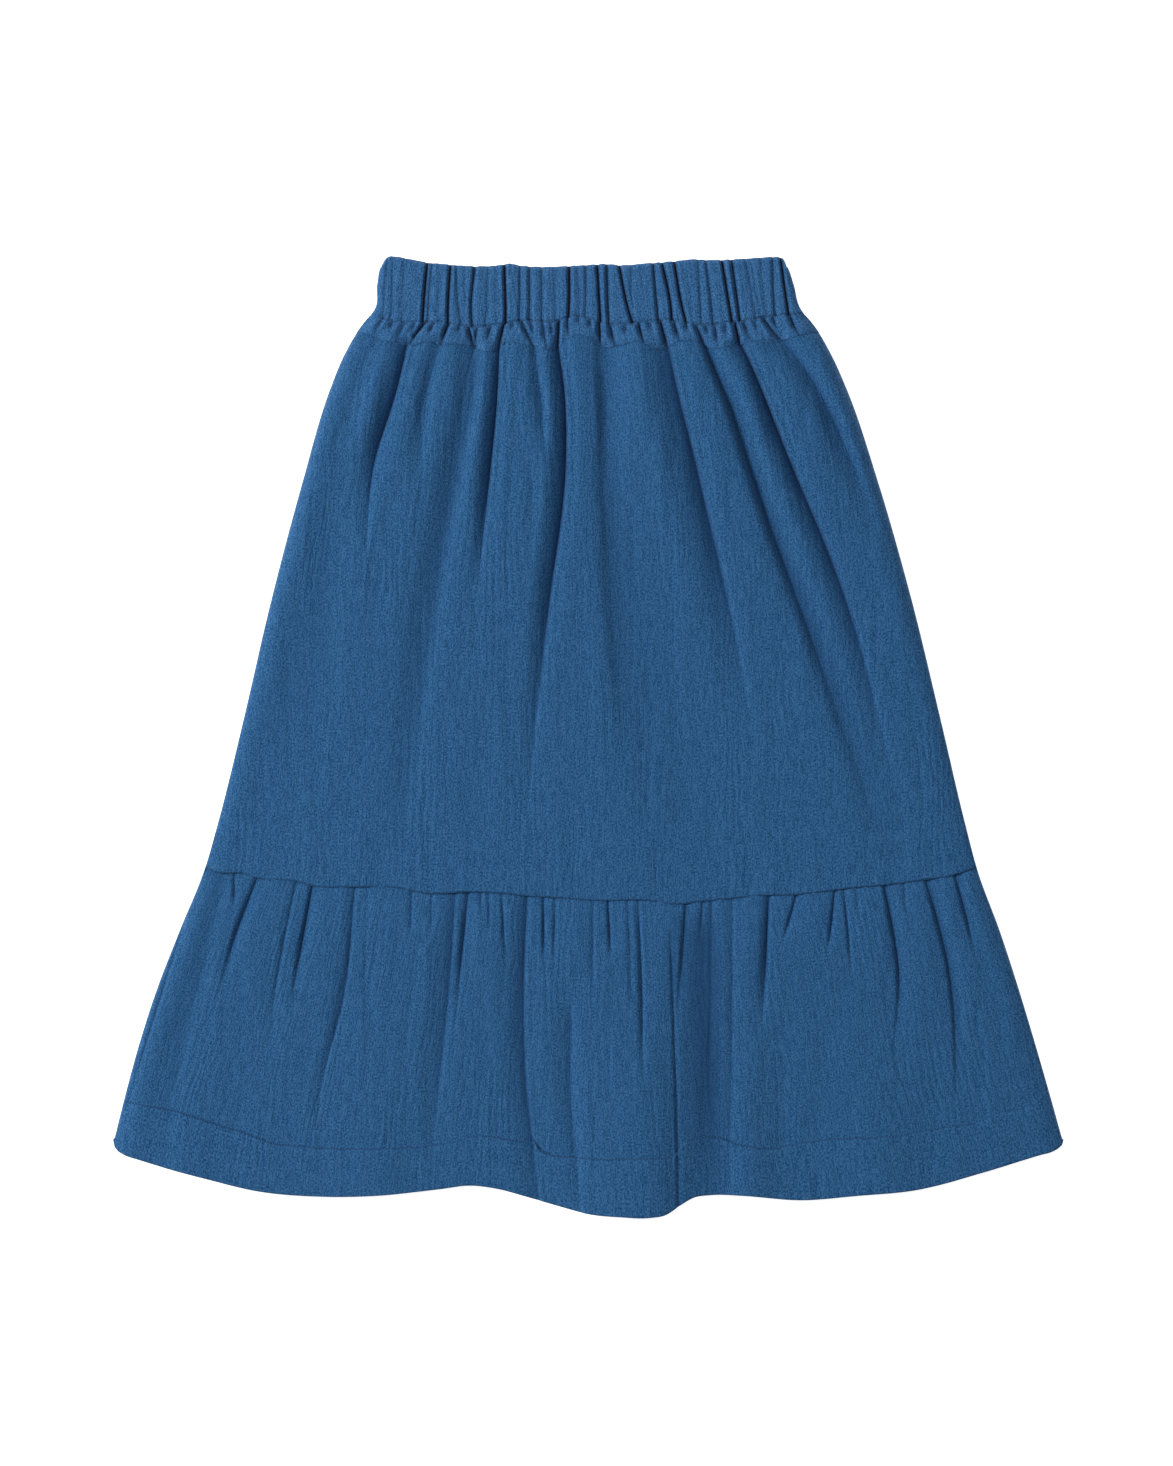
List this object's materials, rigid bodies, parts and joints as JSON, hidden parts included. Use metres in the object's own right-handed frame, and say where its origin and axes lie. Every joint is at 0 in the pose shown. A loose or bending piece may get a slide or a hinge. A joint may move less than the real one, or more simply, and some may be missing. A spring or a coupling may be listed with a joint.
{
  "type": "tiered skirt",
  "caption": "Gathered midi skirt in blue cotton double gauze, laid flat front up: elastic waistband, flared panels and a gathered flounce with a turned-up hem.",
  "frame": {"origin": "on the surface that the skirt lies on, under the middle of its flat outline", "axes": "+Z out of the skirt's front, away from the surface; +Y up the skirt towards the waist; +X to the right as its front is looked at"},
  "size_m": [0.7789, 0.7869, 0.0186],
  "materials": {
    "casing_gauze": "matte blue cotton double gauze, gathered tightly on elastic",
    "panel_gauze": "matte blue cotton double gauze with a lengthwise crinkle",
    "flounce_gauze": "matte blue cotton double gauze with a lengthwise crinkle and a topstitched hem"
  },
  "bodies": {
    "root": {"waistband_front": "casing_gauze", "waistband_back": "casing_gauze", "skirt_front": "panel_gauze", "skirt_back": "panel_gauze", "flounce_front": "flounce_gauze", "flounce_back": "flounce_gauze"}
  },
  "joints": []
}
